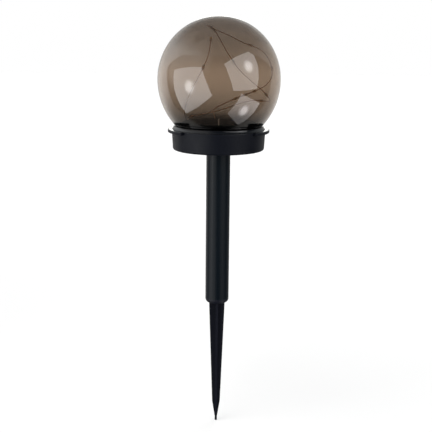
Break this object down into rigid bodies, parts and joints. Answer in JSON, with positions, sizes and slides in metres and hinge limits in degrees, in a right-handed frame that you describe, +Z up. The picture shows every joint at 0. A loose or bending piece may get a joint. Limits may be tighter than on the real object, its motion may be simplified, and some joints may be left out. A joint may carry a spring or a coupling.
{
  "type": "garden globe light",
  "caption": "Solar garden light: a smoked clear globe with fairy lights inside, on a round black base with grip ears, a straight pole and a ground spike.",
  "frame": {"origin": "on the vertical axis at the ground line, where the blade leaves the underside of the spike's shoulder", "axes": "+Z is up along the pole, the front is -Y, and the collar's two grip ears lie along +X and -X at rest"},
  "size_m": [0.12, 0.12, 0.4177],
  "materials": {
    "smoked_plastic": "clear smoked brown, high gloss",
    "black_gloss": "high gloss",
    "black_moulded": "fine moulded satin",
    "black_pole": "satin",
    "black_spike": "satin, draw marks along the blade",
    "black_plate": "matt",
    "clear_adhesive": "clear, slightly cloudy",
    "black_rubber": "matt",
    "pad_foam": "matt",
    "board_green": "solder mask",
    "cell_silicon": "dark blue-black, polished",
    "tinned_ribbon": "bright tin",
    "clear_resin": "clear, high gloss",
    "copper_wire": "dark enamelled copper",
    "lamp_resin": "clear amber",
    "screw_steel": "zinc plated",
    "chip_black": "matt",
    "ferrite": "matt",
    "capacitor_sleeve": "shrink sleeve",
    "switch_black": "satin",
    "button_grey": "satin",
    "battery_sleeve": "printed sleeve left plain",
    "spring_steel": "nickel plated",
    "lead_insulation": "satin"
  },
  "bodies": {
    "stake": {"ground_spike": "black_spike"},
    "pole": {"pole_tube": "black_pole"},
    "head": {"base_housing": "black_moulded", "top_plate": "black_plate", "seal_ring": "black_rubber", "wire_grommet": "black_rubber", "plate_screws": "screw_steel", "control_board": "board_green", "board_screws": "screw_steel", "driver_chip": "chip_black", "inductor": "ferrite", "capacitor": "capacitor_sleeve", "switch_body": "switch_black", "battery_cell": "battery_sleeve", "contact_positive": "spring_steel", "contact_negative": "spring_steel", "panel_pad": "pad_foam", "panel_board": "board_green", "solar_cells": "cell_silicon", "cell_ribbon": "tinned_ribbon", "panel_resin": "clear_resin", "panel_leads": "lead_insulation", "battery_leads": "lead_insulation", "string_tail": "copper_wire", "fairy_wire": "copper_wire", "led_beads": "lamp_resin"},
    "globe": {"globe_shell": "smoked_plastic", "globe_collar": "black_gloss", "neck_adhesive": "clear_adhesive"},
    "button": {"switch_button": "button_grey"}
  },
  "joints": [
    {"name": "pole_lift", "type": "slide", "parent": "stake", "child": "pole", "axis": [0, 0, 1], "range_m": [0, 0.018]},
    {"name": "head_lift", "type": "slide", "parent": "pole", "child": "head", "axis": [0, 0, 1], "range_m": [0, 0.01]},
    {"name": "globe_turn", "type": "hinge", "parent": "head", "child": "globe", "pos_m": [0, 0, 0.1751], "axis": [0, 0, 1], "range_deg": [0, 30]},
    {"name": "button_press", "type": "slide", "parent": "head", "child": "button", "axis": [0, 0, 1], "range_m": [0, 0.0014], "stiffness_N_per_m": 300}
  ]
}
